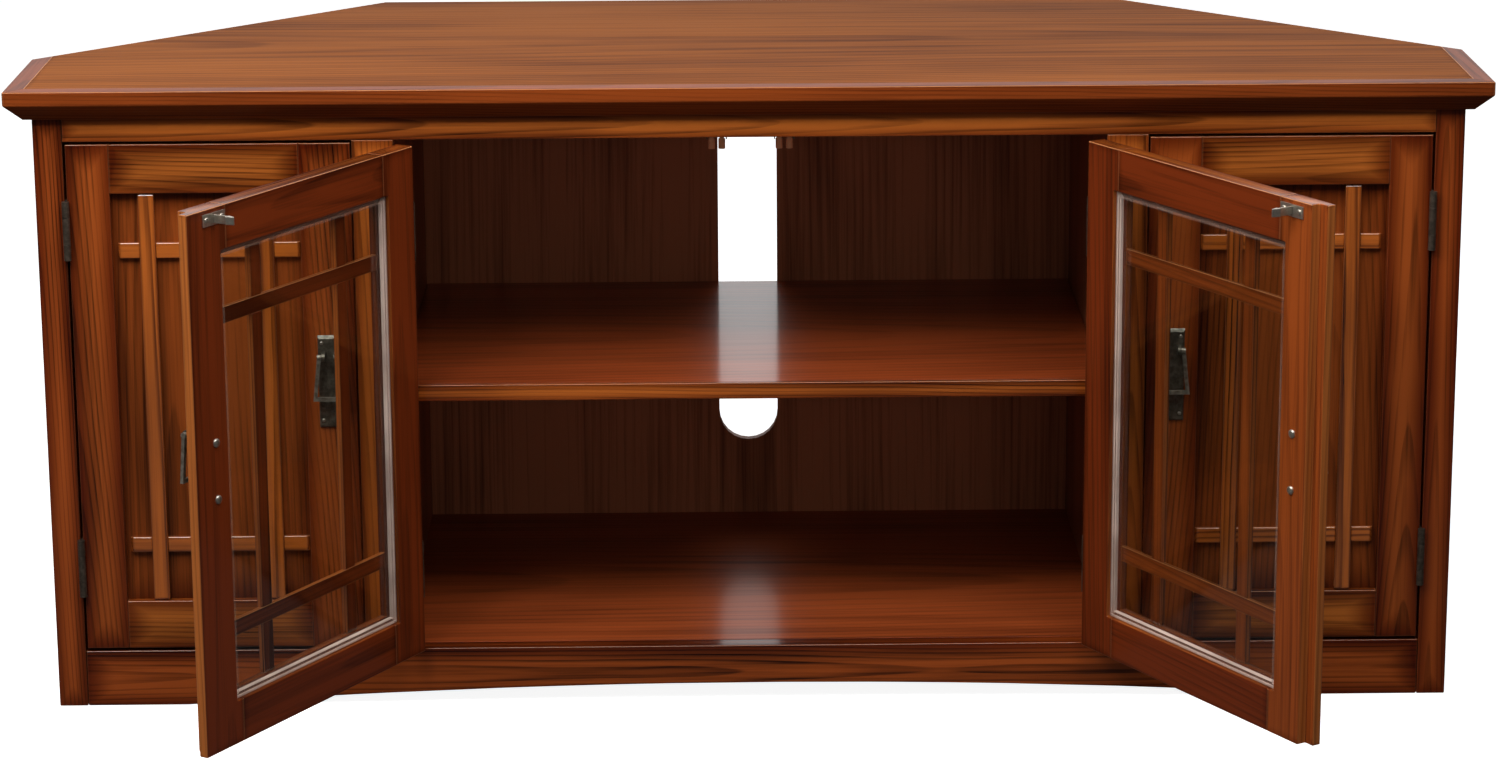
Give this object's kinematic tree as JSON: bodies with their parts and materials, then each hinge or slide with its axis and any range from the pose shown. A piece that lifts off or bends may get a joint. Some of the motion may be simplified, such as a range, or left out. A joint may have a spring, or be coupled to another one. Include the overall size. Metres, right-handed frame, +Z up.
{
  "type": "corner tv cabinet",
  "caption": "Corner TV cabinet with a five-sided top, lattice side doors, glazed lattice doors over an open shelved bay, drop pulls and a cable slot in the back.",
  "frame": {"origin": "centre of the bounding box, open doors included, on the floor", "axes": "+Z up, front towards -Y, the back wall side towards +Y, +X to the viewer's right"},
  "size_m": [1.524, 0.8428, 0.668],
  "materials": {
    "top_veneer": "stained oak veneer, satin lacquer",
    "frame_oak": "stained plain-sawn oak, satin lacquer",
    "door_oak": "stained oak with darker glazed edges, satin lacquer",
    "inside_oak": "dark stained oak veneer, satin lacquer",
    "door_glass": "clear float glass",
    "aged_bronze": "dark antique bronze",
    "nickel": "nickel plated",
    "roller_nylon": "tan nylon"
  },
  "bodies": {
    "carcass": {"top_board": "top_veneer", "corner_post_left": "frame_oak", "corner_post_right": "frame_oak", "top_rail": "frame_oak", "bottom_rail": "frame_oak", "mullion_left": "frame_oak", "mullion_right": "frame_oak", "side_panel_left": "frame_oak", "side_panel_right": "frame_oak", "diagonal_panel_left": "inside_oak", "diagonal_panel_right": "inside_oak", "back_panel": "inside_oak", "base_panel": "inside_oak", "partition_left": "inside_oak", "partition_right": "inside_oak", "centre_shelf": "inside_oak", "left_catch_case": "aged_bronze", "right_catch_case": "aged_bronze", "left_outer_door_upper_hinge_frame_leaf": "aged_bronze", "left_outer_door_lower_hinge_frame_leaf": "aged_bronze", "left_glass_door_upper_hinge_frame_leaf": "aged_bronze", "left_glass_door_lower_hinge_frame_leaf": "aged_bronze", "right_outer_door_upper_hinge_frame_leaf": "aged_bronze", "right_outer_door_lower_hinge_frame_leaf": "aged_bronze", "right_glass_door_upper_hinge_frame_leaf": "aged_bronze", "right_glass_door_lower_hinge_frame_leaf": "aged_bronze"},
    "left_outer_door": {"left_outer_door_frame": "door_oak", "left_outer_door_panel": "door_oak", "left_outer_door_lattice": "door_oak", "left_outer_door_pull_plate": "aged_bronze", "left_outer_door_upper_hinge_door_leaf": "aged_bronze", "left_outer_door_lower_hinge_door_leaf": "aged_bronze"},
    "left_outer_door_bail": {"left_outer_door_pull_bail": "aged_bronze"},
    "left_glass_door": {"left_glass_door_frame": "door_oak", "left_glass_door_glass": "door_glass", "left_glass_door_lattice": "door_oak", "left_glass_door_pull_plate": "aged_bronze", "left_glass_door_upper_hinge_door_leaf": "aged_bronze", "left_glass_door_lower_hinge_door_leaf": "aged_bronze", "left_glass_door_strike": "nickel"},
    "left_glass_door_bail": {"left_glass_door_pull_bail": "aged_bronze"},
    "right_outer_door": {"right_outer_door_frame": "door_oak", "right_outer_door_panel": "door_oak", "right_outer_door_lattice": "door_oak", "right_outer_door_pull_plate": "aged_bronze", "right_outer_door_upper_hinge_door_leaf": "aged_bronze", "right_outer_door_lower_hinge_door_leaf": "aged_bronze"},
    "right_outer_door_bail": {"right_outer_door_pull_bail": "aged_bronze"},
    "right_glass_door": {"right_glass_door_frame": "door_oak", "right_glass_door_glass": "door_glass", "right_glass_door_lattice": "door_oak", "right_glass_door_pull_plate": "aged_bronze", "right_glass_door_upper_hinge_door_leaf": "aged_bronze", "right_glass_door_lower_hinge_door_leaf": "aged_bronze", "right_glass_door_strike": "nickel"},
    "right_glass_door_bail": {"right_glass_door_pull_bail": "aged_bronze"},
    "left_catch_outer_roller": {"left_catch_outer_roller": "roller_nylon"},
    "left_catch_inner_roller": {"left_catch_inner_roller": "roller_nylon"},
    "right_catch_outer_roller": {"right_catch_outer_roller": "roller_nylon"},
    "right_catch_inner_roller": {"right_catch_inner_roller": "roller_nylon"}
  },
  "joints": [
    {"name": "left_outer_door_swing", "type": "hinge", "parent": "carcass", "child": "left_outer_door", "pos_m": [-0.7058, -0.0907, 0.336], "axis": [0, 0, 1], "range_deg": [-150, 0]},
    {"name": "left_outer_door_bail_lift", "type": "hinge", "parent": "left_outer_door", "child": "left_outer_door_bail", "pos_m": [-0.43896, -0.0966, 0.383], "axis": [-1, 0, 0], "range_deg": [0, 95]},
    {"name": "left_glass_door_swing", "type": "hinge", "parent": "carcass", "child": "left_glass_door", "pos_m": [-0.36631, -0.0907, 0.336], "axis": [0, 0, 1], "range_deg": [-29, 121]},
    {"name": "left_glass_door_bail_lift", "type": "hinge", "parent": "left_glass_door", "child": "left_glass_door_bail", "pos_m": [-0.54626, -0.37873, 0.383], "axis": [0.515, 0.8572, 0], "range_deg": [0, 95]},
    {"name": "right_outer_door_swing", "type": "hinge", "parent": "carcass", "child": "right_outer_door", "pos_m": [0.7058, -0.0907, 0.336], "axis": [0, 0, 1], "range_deg": [0, 150]},
    {"name": "right_outer_door_bail_lift", "type": "hinge", "parent": "right_outer_door", "child": "right_outer_door_bail", "pos_m": [0.43896, -0.0966, 0.383], "axis": [-1, 0, 0], "range_deg": [0, 95]},
    {"name": "right_glass_door_swing", "type": "hinge", "parent": "carcass", "child": "right_glass_door", "pos_m": [0.36631, -0.0907, 0.336], "axis": [0, 0, 1], "range_deg": [-121, 29]},
    {"name": "right_glass_door_bail_lift", "type": "hinge", "parent": "right_glass_door", "child": "right_glass_door_bail", "pos_m": [0.54626, -0.37873, 0.383], "axis": [0.515, -0.8572, 0], "range_deg": [0, 95]},
    {"name": "left_catch_outer_roller_spring", "type": "slide", "parent": "carcass", "child": "left_catch_outer_roller", "axis": [-1, 0, 0], "range_m": [0, 0.0016], "stiffness_N_per_m": 800},
    {"name": "left_catch_inner_roller_spring", "type": "slide", "parent": "carcass", "child": "left_catch_inner_roller", "axis": [1, 0, 0], "range_m": [0, 0.0016], "stiffness_N_per_m": 800},
    {"name": "right_catch_outer_roller_spring", "type": "slide", "parent": "carcass", "child": "right_catch_outer_roller", "axis": [1, 0, 0], "range_m": [0, 0.0016], "stiffness_N_per_m": 800},
    {"name": "right_catch_inner_roller_spring", "type": "slide", "parent": "carcass", "child": "right_catch_inner_roller", "axis": [-1, 0, 0], "range_m": [0, 0.0016], "stiffness_N_per_m": 800}
  ]
}
